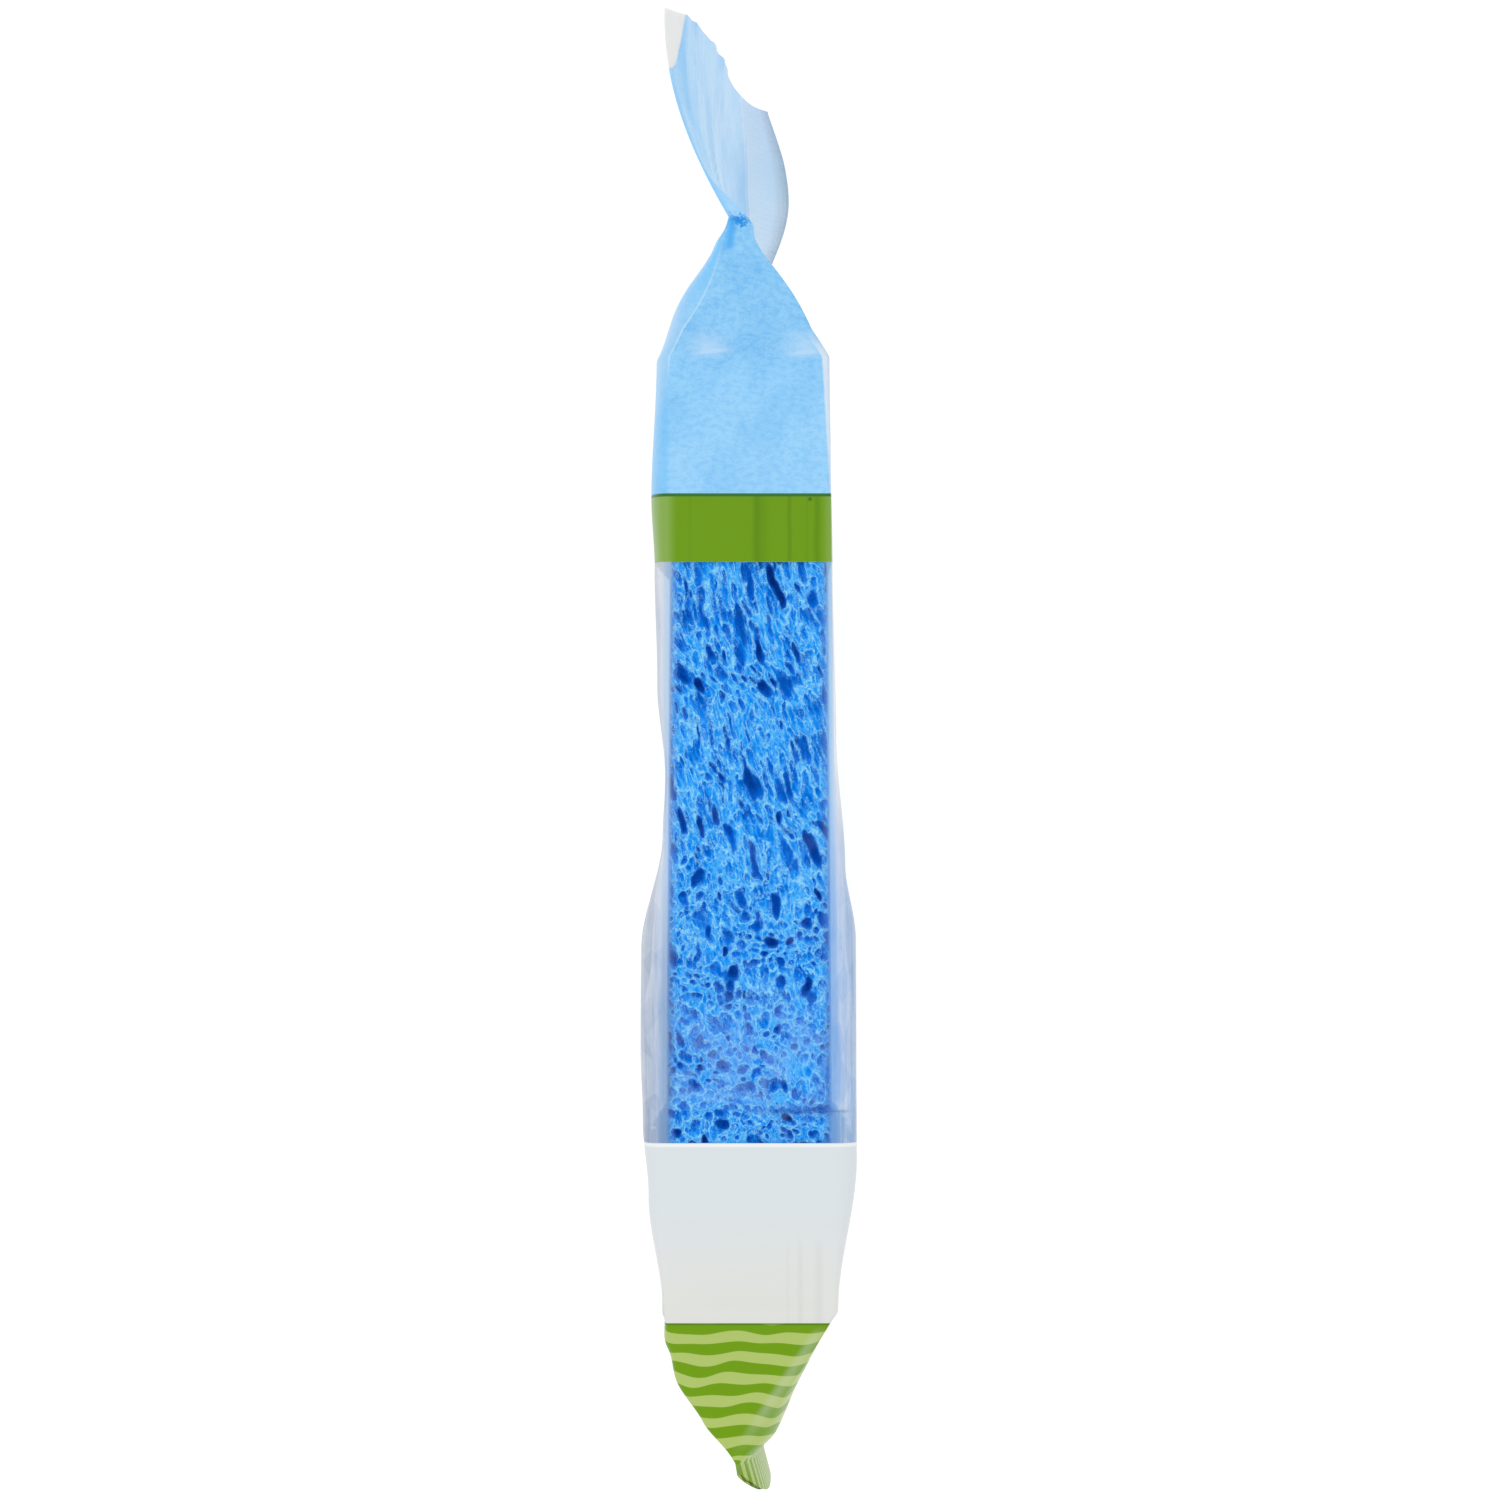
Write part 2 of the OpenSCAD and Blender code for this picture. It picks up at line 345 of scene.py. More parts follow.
def sponge_width(y):
    """Thickness of the block, which narrows evenly towards the head end."""
    return mix(FOOT_T, HEAD_T, clamp((y - FOOT_END) / SPONGE_L))


FINE_STEP, COARSE_STEP = 0.2, 2.2       # grid steps of the near narrow side and of the other sides
COARSE_DROP = 0.9                       # the coarse lattice starts this far below the near side


def make_sponge(material):
    """The block. Its near narrow side is a fine grid sunk by pore_relief. Its other five sides are the
    outer points of a coarser lattice, sunk by the same relief, and a strip of triangles joins the two."""
    half = FOOT_T / 2
    x = spaced(-half, half, FINE_STEP)
    y = spaced(FOOT_END, HEAD_END, 0.8, (WINDOW_LOW - 1, WINDOW_HIGH + 1, FINE_STEP))
    xx, yy = np.meshgrid(x, y)
    depth, edge, wall, lit = pore_relief(xx, yy, 5)
    rim = np.minimum(np.minimum(half - np.abs(xx), HEAD_END - yy), yy - FOOT_END)
    depth = depth * ease(rim / 0.5)
    near = np.stack([xx, yy, NEAR_FACE - depth], axis=-1).reshape(-1, 3)
    near_faces = grid_faces(len(y), len(x))
    near_n = len(near)

    lx = spaced(-half, half, COARSE_STEP)
    ly = spaced(FOOT_END, HEAD_END, COARSE_STEP, (WINDOW_LOW - 1, WINDOW_HIGH + 1, COARSE_STEP / 2))
    lz = spaced(SEAT, NEAR_FACE - COARSE_DROP, COARSE_STEP / 2)
    n = (len(lx), len(ly), len(lz))
    i, j, k = np.meshgrid(*(np.arange(m) for m in n), indexing="ij")
    skin = (i == 0) | (i == n[0] - 1) | (j == 0) | (j == n[1] - 1) | (k == 0)
    number = np.full(n, -1)
    number[skin] = np.arange(skin.sum())
    i, j, k = i[skin], j[skin], k[skin]
    px, py, pz = lx[i], ly[j], lz[k]
    box = np.stack([px, py, pz], axis=-1)
    box_depth = np.zeros(len(px))
    sides = (
        ((i == 0) | (i == n[0] - 1), pz, py, 0, np.sign(px)),
        ((j == 0) | (j == n[1] - 1), px, pz, 1, np.sign(py)),
        (k == 0, px + 40, py, 2, -np.ones(len(px))),
    )
    limits = np.minimum.reduce([
        np.where((i == 0) | (i == n[0] - 1), 99, half - np.abs(px)),
        np.where((j == 0) | (j == n[1] - 1), 99, np.minimum(HEAD_END - py, py - FOOT_END)),
        np.where(k == 0, 99, np.minimum(pz - SEAT, NEAR_FACE - COARSE_DROP - pz)),
    ])
    for number_of_side, (on, across, along, axis, sign) in enumerate(sides):
        d, _, _, _ = pore_relief(across + 200 * (sign > 0), along, 20 + number_of_side)
        d = np.where(on & (limits > 0.2), d * ease(limits / 2.0), 0)
        box[:, axis] -= sign * d
        box_depth = np.maximum(box_depth, d)

    def lattice_faces(plane, flip):
        a, b, c, d = plane[:-1, :-1], plane[1:, :-1], plane[1:, 1:], plane[:-1, 1:]
        f = np.stack([a.ravel(), b.ravel(), c.ravel(), d.ravel()], axis=1)
        return f[:, ::-1] if flip else f

    box_faces = np.concatenate([
        lattice_faces(number[0], True), lattice_faces(number[-1], False),
        lattice_faces(number[:, 0], False), lattice_faces(number[:, -1], True),
        lattice_faces(number[:, :, 0], True),
    ]) + near_n

    # Both rims as loops, with each point's share of the way round
    grid = np.arange(near_n).reshape(len(y), len(x))
    fine = np.concatenate([grid[0, :-1], grid[:-1, -1], grid[-1, :0:-1], grid[:0:-1, 0]])
    top = number[:, :, -1].T
    coarse = np.concatenate([top[0, :-1], top[:-1, -1], top[-1, :0:-1], top[:0:-1, 0]])

    def share(a, b):
        w, l = x[-1] - x[0], y[-1] - y[0]
        return np.concatenate([(a[:-1] - a[0]), w + (b[:-1] - b[0]), w + l + (a[-1] - a[:0:-1]),
                               2 * w + l + (b[-1] - b[:0:-1])]) / (2 * (w + l))

    tf, tc = share(x, y), share(lx, ly)
    middle = (tf + np.roll(tf, -1)) / 2
    middle[-1] = (tf[-1] + 1) / 2
    partner = (np.searchsorted((tc + np.append(tc[1:], 1)) / 2, middle)) % len(tc)
    strip = [np.stack([fine, coarse[partner] + near_n, np.roll(fine, -1)], axis=1)]
    # Between one fine edge and the next, the partner moves on by nought or one
    before = np.roll(partner, 1)
    moved = np.nonzero(partner != before)[0]
    last, now = coarse[before[moved]] + near_n, coarse[partner[moved]] + near_n
    strip.append(np.stack([fine[moved], last, now], axis=1))
    strip = np.concatenate(strip)

    points = np.concatenate([near, box])
    points[:, 0] *= sponge_width(points[:, 1]) / FOOT_T
    faces = near_faces.tolist() + box_faces.tolist() + strip.tolist()
    attributes = {
        "pore_depth": np.concatenate([depth.ravel(), box_depth]),
        "cell_edge": np.concatenate([edge.ravel(), np.ones(len(box))]),
        "cell_wall": np.concatenate([wall.ravel(), np.ones(len(box))]),
        "painted_slope_light": np.concatenate([lit.ravel(), np.zeros(len(box))]),
        "cut_fine": np.concatenate([np.ones(near_n), np.zeros(len(box))]),
    }
    return new_piece("sponge_block", points, faces, attributes, material)


THREAD_LOW, THREAD_HIGH = 1.1, 1.6


def sponge_material():
    """Blue cellulose with painted light and shade: painted shade darkens it down in the cells and on the
    side of each cell turned from the light at the head end, and a painted highlight brightens it along
    their thin torn rims, with a fine lace of small cells between. The sides with a coarser mesh have their
    cells drawn from the same coordinates."""
    n = Nodes("blue_cellulose")
    where = n.place()
    depth, fine = n.attribute("pore_depth"), n.attribute("cut_fine")
    edge, wall, lit = n.attribute("cell_edge"), n.attribute("cell_wall"), n.attribute("painted_slope_light")
    push = n.add("ShaderNodeTexNoise", {}, {"Vector": where, "Scale": 1.3, "Detail": 3.0}, output="Color")
    # Long threads towards the head end, rounder ones towards the foot
    place = [n.add("ShaderNodeSeparateXYZ", {}, [where], output=axis) for axis in "XYZ"]
    round_cells = place[1].step(LONG_TO, ROUND_FROM)
    across = place[0] + place[1] * (0.32 - round_cells * 0.14)
    grain = n.add("ShaderNodeCombineXYZ", {}, [across, place[1] * (0.27 + round_cells * 0.2), place[2]])
    inputs = {0: push, 1: (0.8, 0.5, 0.8), 2: grain}
    pushed = n.add("ShaderNodeVectorMath", {"operation": "MULTIPLY_ADD"}, inputs)

    def drawn(scale):
        """Distance to the walls of cells drawn at that scale."""
        inputs = {"Vector": pushed, "Scale": scale}
        return n.add("ShaderNodeTexVoronoi", {"feature": "DISTANCE_TO_EDGE"}, inputs)

    speck = n.noise(where, 2.4, 4.0, 0.7)
    patch = n.noise(where, 0.22, 2.0, 0.5)
    ragged = n.noise(where, 0.9, 4.0, 0.65).step(0.38, 0.6)
    torn = n.noise(where, 1.7, 4.0, 0.7) - 0.5
    edge = edge + torn * 0.8
    wall = wall + torn * 0.4
    threads = n.add("ShaderNodeTexNoise", {"noise_type": "RIDGED_MULTIFRACTAL"}, {
        "Vector": pushed, "Scale": 0.8, "Detail": 3.0,
        "Roughness": 0.62, "Lacunarity": 2.2, "Offset": 0.9, "Gain": 1.6,
    })
    lace = drawn(1.15)
    open_face = depth.step(1.1, 0.3)
    thread = threads.step(THREAD_LOW, THREAD_HIGH)
    # Painted highlight along the threads and rims of the lace
    lace_rim = (lace.step(0.08, 0.0) * 0.6 * ragged).most(thread * 0.9) * speck.step(0.34, 0.56)
    # Painted shade in the middle of the small lace cells
    lace_pit_shade = lace.step(0.04, 0.45) * speck.step(0.62, 0.4) * open_face
    # Painted highlight along the cells' torn rims
    rims = edge.near(0.02, 0.14).most(wall.step(0.12, 0.02) * depth.step(0.1, 0.3) * 0.8)
    rims = rims * (0.3 + ragged * 0.8)
    # Coarse sides
    small, large = drawn(0.75), drawn(0.36)
    drawn_depth = large.step(0.05, 0.42) * patch.step(0.42, 0.6) * 2.2 + small.step(0.03, 0.35) * 0.9
    drawn_rim = (1.0 - large.step(0.0, 0.07)).most(1.0 - small.step(0.0, 0.09))
    # Painted shade: the colour darkens with the depth of the cells, of the cells drawn on the coarse sides
    # and of the lace pits, to near black in the deepest
    deep = (depth + lace_pit_shade * 0.8) * fine + (depth * 0.5 + drawn_depth + lace_pit_shade * 0.5) * (1.0 - fine)
    rims = (rims * fine + drawn_rim * (1.0 - fine)).most(lace_rim * open_face)
    # The cells are painted lighter on the wall that faces the light at the head end and darker on the other
    tone_and_painted_shade = (deep + (speck - 0.5) * 1.7 - (patch - 0.5) * 0.9 - lit * 0.65 + 0.16) / 3.1
    base = n.add("ShaderNodeValToRGB", {"stops": [
        (0.0, srgb(66, 174, 252)), (0.1, srgb(22, 145, 243)), (0.26, srgb(0, 118, 224)),
        (0.5, srgb(0, 84, 180)), (0.74, srgb(0, 58, 142)), (0.98, srgb(20, 26, 120))]}, [tone_and_painted_shade])
    tint = n.colour((rims * (0.66 + speck * 0.5)).least(1.0), base, srgb(150, 222, 255))
    height = lace_rim * 0.25 + speck * 0.25 + drawn_depth * (fine - 1.0) * 0.5 + rims * 0.15
    bump = n.add("ShaderNodeBump", {}, {"Strength": 0.22, "Distance": 0.001, "Height": height})
    skin = n.add("ShaderNodeBsdfPrincipled", {}, {
        "Base Color": tint, "Roughness": 0.8, "Normal": bump, "Specular IOR Level": 0.02,
    })
    return n.finish(skin)


# ---------------------------------------------------------------------------
# Film wrapper
# ---------------------------------------------------------------------------
LEFT_SLACK = RIGHT_SLACK = 4.0
# Stand-off of each wide side as a share of its slack, and the depth where it stands off furthest,
# by place along the pack: -2 foot cut, -1 foot seal, 0 and 1 the sponge's ends, 2 head seal, 3 head cut
LEFT_STAND = ((-1, 0.2), (-0.75, 0.7), (-0.5, 0.95), (-0.25, 0.6), (0, 0), (0.12, 0.6), (0.2, 0.85),
              (0.28, 0.96), (0.38, 0.96), (0.5, 0.13), (0.56, 0.04), (0.66, 0.4), (0.78, 0.54),
              (0.86, 0.7), (1, 0.53), (1.4, 0.85), (1.85, 0.4), (2, 0))
RIGHT_STAND = ((-1, 0), (-0.85, 0.3), (-0.5, 0.12), (-0.08, 0.02), (0, 0.12), (0.16, 0.91), (0.39, 0.93),
               (0.47, 0.52), (0.6, 0.2), (0.78, 0.09), (0.9, 0.05), (1, 0))
LEFT_DROP = ((-1, 2), (0.3, 3), (0.5, 5), (0.8, 8), (1, 10), (1.4, 18))
RIGHT_DROP = ((-1, 6), (0, 3), (0.4, 4), (1, 6))
HEADER_LEAN, HEADER_CURL, HEADER_TAIL = 8.8, 4.5, 7.0
SEAL_LEAN, SEAL_CURL, SEAL_TAIL, CUT_TAIL, TAIL_EASE = 0.26, 0.8, 2.2, 3.4, 2.8
FOOT_LEAN, FOOT_CUT_LEAN, FOOT_TAIL = 1.8, 0.2, 3.0
FOOT_BELLY, CUT_BELLY, FOOT_FADE, BELLY_FROM, BELLY_OVER = 3.5, 1.6, 0.05, 0.25, 0.6
EDGE_FADE = 0.07
FOOT_FOLD = 3.0                 # how far the foot seal's upper corner drops
CORNER_PULL = 5.0               # how far that corner is drawn back along the pack
NECK = 1.3                      # how wide the film is gathered at the near end of the head seal
SHOULDER, SHOULDER_FROM = 1.5, 81.0     # the near panel leans to the right on its way to the head seal
FILM_GAP = 0.12                 # from the middle of a seal to each of its two layers


def place_along(y):
    """Place along the pack in the units of the stand-off tables."""
    return np.select(
        [y < FOOT_SEAL, y < FOOT_END, y <= HEAD_END, y <= HEAD_SEAL],
        [-1 - (FOOT_SEAL - y) / FOOT_SEAL_L, -np.minimum(1, (FOOT_END - y) / FOOT_POCKET),
         (y - FOOT_END) / SPONGE_L, 1 + np.minimum(1, (y - HEAD_END) / HEAD_POCKET)],
        2 + (y - HEAD_SEAL) / HEADER_L,
    )


def flatness(y):
    """0 around the sponge, 1 where the tube's walls meet at the seals."""
    head = (y - HEAD_END - POCKET_START) / HEAD_POCKET
    foot = (FOOT_END - POCKET_START - y) / FOOT_POCKET
    return clamp(np.maximum(head, foot))


def tube_height(y):
    """Height of the film's upper edge. It rises over the flattened ends, where the film takes up half
    of the tube's thickness, and the foot seal's upper corner is folded down."""
    return TUBE_TOP + flatness(y) * sponge_width(y) / 2 - FOOT_FOLD * clamp(-1 - place_along(y))


def sway(y, q):
    """Sideways line of the flattened film at depth share q: a lean, a curl that dies away below the
    upper edge, and a tail that dies away above the floor. The foot seal's upper edge is turned to the
    left and the film under it bellies out to the right before it comes back."""
    p = place_along(y)
    root = ease(flatness(y))
    up, down = clamp(p - 2), clamp(-1 - p)
    foot = p < 0
    lean = HEADER_LEAN * mix(SEAL_LEAN * root, 1, 1 - (1 - up) ** 2)
    curl = root * (SEAL_CURL + (HEADER_CURL - SEAL_CURL) * np.sin(np.radians(100 * up)))
    swing = (HEADER_TAIL - TAIL_EASE) * np.sin(np.radians(180 * up)) ** 1.2
    tail = root * (mix(SEAL_TAIL, CUT_TAIL, up) + swing)
    head_line = -lean * (1 - q) - curl * np.exp(-q / EDGE_FADE) + tail * np.exp((q - 1) / EDGE_FADE)
    belly = (FOOT_BELLY + CUT_BELLY * down) * (1 - np.exp(-q / FOOT_FADE))
    belly = belly * (1 - ease((q - BELLY_FROM) / BELLY_OVER))
    foot_tail = FOOT_TAIL * np.exp((q - 1) / EDGE_FADE)
    foot_line = root * (belly - FOOT_LEAN + FOOT_CUT_LEAN * down - foot_tail)
    return np.where(foot, foot_line, head_line)


def make_film(material):
    """The web. Rows run along the pack, and a row goes from the back seal up the right wide side, over
    the near panel, down the left side, under the sponge and up to the back seal again, where the two
    edges overlap. A wide side leaves the panel's edge on a quarter ellipse out to its stand-off and
    comes back in on a cosine."""
    y = np.unique(np.concatenate([
        spaced(FOOT_CUT, FOOT_SEAL, 0.4), spaced(FOOT_SEAL, FOOT_END, 0.45),
        spaced(FOOT_END, HEAD_END, 0.8),
        spaced(HEAD_END, HEAD_SEAL, 0.45), spaced(HEAD_SEAL, HEAD_CUT, 0.5),
    ]))[:, None]
    near_n, turn_n, side_n, under_n = 40, 8, 36, 8
    half = FILM_GAP + (FILM_FIT + sponge_width(y) / 2) * (1 - flatness(y))
    height = tube_height(y)
    p = place_along(y)

    def wall(slack, stand, drops, fold_seed):
        """Offset and depth down one wide side."""
        drop = eased(drops, p)
        turn = np.linspace(0, np.pi / 2, turn_n + 1)[None, :-1]
        fall = (np.linspace(0, 1, side_n + 1) ** 1.3)[None, :]
        out = np.concatenate([np.sin(turn) + 0 * y, np.cos(fall * np.pi / 2) ** 0.8 + 0 * y], axis=1)
        deep = np.concatenate([drop * (1 - np.cos(turn)), drop + (height - drop) * fall], axis=1)
        # Soft folds that sink in below the fullest line, mostly along the pack
        fold = lattice_noise(y / 17, deep / 6 + fold_seed, fold_seed)
        fold = np.abs(fold + 0.6 * lattice_noise(y / 7, deep / 3, fold_seed + 1))
        return half + slack * eased(stand, p) * out * (1 - 0.35 * fold * ease((deep - drop) / 7)), deep

    right, right_deep = wall(RIGHT_SLACK, RIGHT_STAND, RIGHT_DROP, 91)
    left, left_deep = wall(LEFT_SLACK, LEFT_STAND, LEFT_DROP, 95)
    mid_deep, mid_height = right_deep[len(y) // 2], height[len(y) // 2]
    seal = int(np.argmin(np.abs(mid_deep - (mid_height + LAP) / 2)))
    seal_from = int(np.argmin(np.abs(mid_deep - (mid_height - LAP) / 2)))
    over = np.where(np.arange(seal + 1) >= seal_from, 0.3, 0.0)
    across = np.linspace(1, -1, near_n + 1)[None, 1:-1]
    under = np.linspace(-1, 1, under_n + 1)[None, 1:-1]
    offset = np.concatenate([
        (right[:, :seal + 1] + over)[:, ::-1], half * across, -left,
        half * under, right[:, :seal_from - 1:-1],
    ], axis=1)
    depth = np.concatenate([
        right_deep[:, seal::-1], 0 * half * across, left_deep,
        height + 0 * under, right_deep[:, :seal_from - 1:-1],
    ], axis=1)
    q = depth / height
    # The near end of the head seal is gathered into small pleats
    below = np.where(y < HEAD_SEAL, 3.2, 4.2)
    gather = NECK * np.exp(-((y - HEAD_SEAL) / below) ** 2) * np.exp(-(depth / 5) ** 2)
    gather = gather * (1 + 0.12 * lattice_noise(y / 1.1, depth / 2.5, 61))
    lean = SHOULDER * np.sin(np.pi * clamp((y - SHOULDER_FROM) / (HEAD_SEAL - SHOULDER_FROM)))
    lean = lean * np.exp(-depth / 25) * clamp(1 + (offset + half) / 2.5)
    offset = offset + gather * (1 + np.clip(offset / half, -1, 1)) + lean
    # Creases fan out from the near end of the head seal over the header
    reach = np.hypot(y - HEAD_SEAL, depth)
    fan = np.arctan2(depth, y - HEAD_SEAL + 2.0)
    crease = lattice_noise(fan * 11, reach / 50, 81) + 0.6 * lattice_noise(fan * 23, reach / 40, 82)
    crease = 0.42 * crease * clamp(p - 1.9) ** 0.5 * ease(reach / 14) * clamp(depth / 3)
    along = y + CORNER_PULL * clamp(-1 - p) * np.exp(-q / FOOT_FADE)
    points = np.stack([sway(y, q) + crease + offset, along, np.maximum(0.05, height - depth)], axis=-1)
    step = np.linalg.norm(np.diff(points, axis=1), axis=-1)
    web_u = np.concatenate([np.zeros((len(y), 1)), np.cumsum(step, axis=1)], axis=1)
    middle = seal + near_n // 2
    turned = seal + near_n + turn_n + side_n + under_n // 2     # the column under the pack's middle
    # Lengths round the web from the near panel's left edge, right edge and middle, the place along the
    # pack, the depth below the upper edge, and 1 where the web goes back up the right side
    attributes = {
        "web_left": (web_u - web_u[:, seal + near_n:seal + near_n + 1]).ravel(),
        "web_right": (web_u[:, seal:seal + 1] - web_u).ravel(),
        "web_u": (web_u[:, middle:middle + 1] - web_u).ravel(),
        "web_v": (y + 0 * q).ravel(),
        "web_depth": depth.ravel(),
        "web_back": (0 * y + (np.arange(q.shape[1]) > turned)).ravel(),
    }
    return new_piece("film_web", points.reshape(-1, 3), grid_faces(*q.shape), attributes, material)


BLUE_FROM, GREEN_FROM, WINDOW_FROM, WHITE_FROM = 54.9, WINDOW_HIGH, WINDOW_LOW, -78.2
BARE_FROM = 121.4               # the header's upper edge is unprinted beyond this
STRIPE_PITCH, STRIPE_PHASE = 3.07, 0.68
BEND_LINE, FOLD_LINE = 77.4, -44.2     # the film is bent over the sponge's end, and folded in the window
CRIMP_PITCH = 0.9


def head_ink(n, u, v, depth, left, back, web, fan):
    """Pale blue like flecked paper, painted paler over the sealed header as painted light through the thin
    film, with painted shade on the turned-away wide side and in the folds by the seal, and painted
    highlights along its creases and bends.
    """
    fleck = n.add("ShaderNodeMapping", {}, {
        "Vector": web, "Rotation": (0, 0, 0.3), "Scale": (0.75, 1.1, 1.0),
    })
    cloud = n.noise(web, 0.12, 3.0, 0.6)
    fibre = n.noise(fleck, 1.1, 5.0, 0.75)
    mottle = (cloud.step(0.36, 0.66) * 0.42 + fibre.step(0.42, 0.62) * 0.55).least(1.0)
    blue = n.colour(mottle, srgb(152, 212, 252), srgb(112, 188, 244))
    blue = n.colour(v.step(93.0, 56.0) * 0.25, blue, srgb(176, 222, 255))
    # Left of the near crease the wide side turns away: painted shade makes it deeper blue towards the seal
    side = left.step(-0.2, 0.5) * depth.step(24.0, 12.0) * v.step(70.0, 82.0)
    blue = n.colour(side * (0.3 + v.step(80.0, 94.0) * 0.5), blue, srgb(124, 204, 255))
    low_side_shade = left.step(-0.4, 0.3) * depth.step(24.0, 12.0) * v.step(82.0, 72.0)
    blue = n.colour(low_side_shade * 0.5, blue, srgb(116, 196, 250))
    pale_side = left.step(-0.2, 0.4) * depth.step(24.0, 10.0) * v.step(92.0, 78.0) * v.step(66.0, 76.0)
    blue = n.colour(pale_side * 0.3, blue, srgb(206, 228, 248))
    # Painted highlight along the near crease
    crease = left.near(-0.05, 0.24) * v.step(72.0, 77.0) * v.step(97.0, 84.0) * (0.3 + cloud * 1.2)
    blue = n.colour(crease.least(1.0) * 0.8, blue, srgb(206, 232, 255))
    # Painted highlights along the crease where the film bends over the sponge's end
    line = (v + (u * 0.45).sine() * 0.35 + u * 0.02).near(BEND_LINE, 0.5) * fibre.step(0.34, 0.52)
    bend_highlight = v.step(BEND_LINE - 1.5, BEND_LINE + 0.8) * v.step(BEND_LINE + 4.6, BEND_LINE + 0.6)
    bend_highlight = bend_highlight * (u.near(-6.5, 5.0) * 0.8 + u.near(8.5, 4.5) * 1.1)
    bend_highlight = bend_highlight * (0.25 + cloud.step(0.3, 0.6) * 0.8)
    bend_highlight = (bend_highlight + line * (u.near(-6.0, 4.5) + u.near(9.0, 4.0)) * 0.7).least(1.0)
    blue = n.colour(bend_highlight * 0.7, blue, srgb(202, 230, 254))
    # Painted shade in the pinched folds at the near end of the seal
    jag = (n.noise(web, 1.9, 3.0, 0.7) - 0.5) * 5.0
    pinch_shade = (v + jag).near(HEAD_SEAL - 0.4, 1.3) * u.near(0.2, 2.4)
    tuck_shade = (left + v.step(98.0, 92.0) * 0.5).near(-0.85, 1.3) * v.step(92.4, 93.6) * v.step(99.0, 97.6)
    blue = n.colour((tuck_shade * 0.9).least(1.0), blue, srgb(80, 176, 246))
    blue = n.colour((pinch_shade * 1.4).least(1.0), blue, srgb(36, 146, 230))
    # The sealed header
    streak = n.noise(fan, 1.0, 4.0, 0.65)
    sealed = n.colour(streak.step(0.3, 0.7), srgb(150, 206, 250), srgb(184, 225, 253))
    sealed = n.colour(mottle * 0.5, sealed, srgb(132, 198, 250))
    # The flap is painted paler, as painted light coming through the thin film
    flap = n.colour(streak.step(0.3, 0.7), srgb(200, 228, 252), srgb(220, 239, 255))
    # The lower part of its right-hand layer hangs down past a bend, which starts as a crisp line
    past = depth * back - (v.step(98.5, 109.0) * 20.0 + 78.0)
    sealed = n.colour(past.step(-0.3, 0.3), sealed, flap)
    # Painted shade just past the bend, and a painted highlight just before it
    sealed = n.colour(past.near(0.9, 1.5) * v.step(128.0, 118.0) * 0.55, sealed, srgb(132, 184, 238))
    sealed = n.colour(past.near(-0.9, 0.8) * 0.45, sealed, srgb(224, 242, 255))
    sealed = n.colour(past.step(0.0, 1.0) * v.step(113.0, 128.0) * 0.45, sealed, srgb(134, 188, 238))
    sealed = n.colour(left.near(0.4, 1.6) * v.step(112.0, 99.0) * 0.6, sealed, srgb(116, 192, 250))
    sealed = n.colour(pinch_shade.least(1.0), sealed, srgb(36, 146, 230))
    return n.colour(v.step(HEAD_SEAL - 0.4, HEAD_SEAL + 0.6), blue, sealed)


def foot_ink(n, u, v, depth, right):
    """Green with pale stripes across the web, each gently waved, and lengthwise ones on the seal."""
    wave = (u * 0.46 + (v * 0.09)).sine() * 0.085 + (u * 0.83 - v * 0.31).sine() * 0.045
    swell = (u * 0.61 + v * 1.21).sine() * 0.05 + 0.245
    band = ((v / STRIPE_PITCH + wave + STRIPE_PHASE).wrapped() - 0.5).absolute() - swell
    seal = ((depth * 0.42 + v * 0.02).wrapped() - 0.5).absolute() - 0.24
    band = n.add("ShaderNodeMix", {}, {0: v.step(FOOT_SEAL + 1.0, FOOT_SEAL), 2: band, 3: seal})
    green = n.colour(band.step(0.016, -0.016), srgb(112, 158, 0), srgb(177, 199, 108))
    green = n.colour(v.near(WHITE_FROM - 0.1, 0.35) * 0.8, green, srgb(70, 116, 30))
    # The right-hand crease shines, and the stripes fade a little beyond it
    shine = right.near(-1.2, 1.5) * 0.32 + right.step(-1.2, 0.2) * depth.step(24.0, 5.0) * 0.16
    shine = shine * v.step(-78.6, -80.5) * v.step(FOOT_SEAL, FOOT_SEAL + 9)
    return n.colour(shine, green, srgb(204, 213, 186))


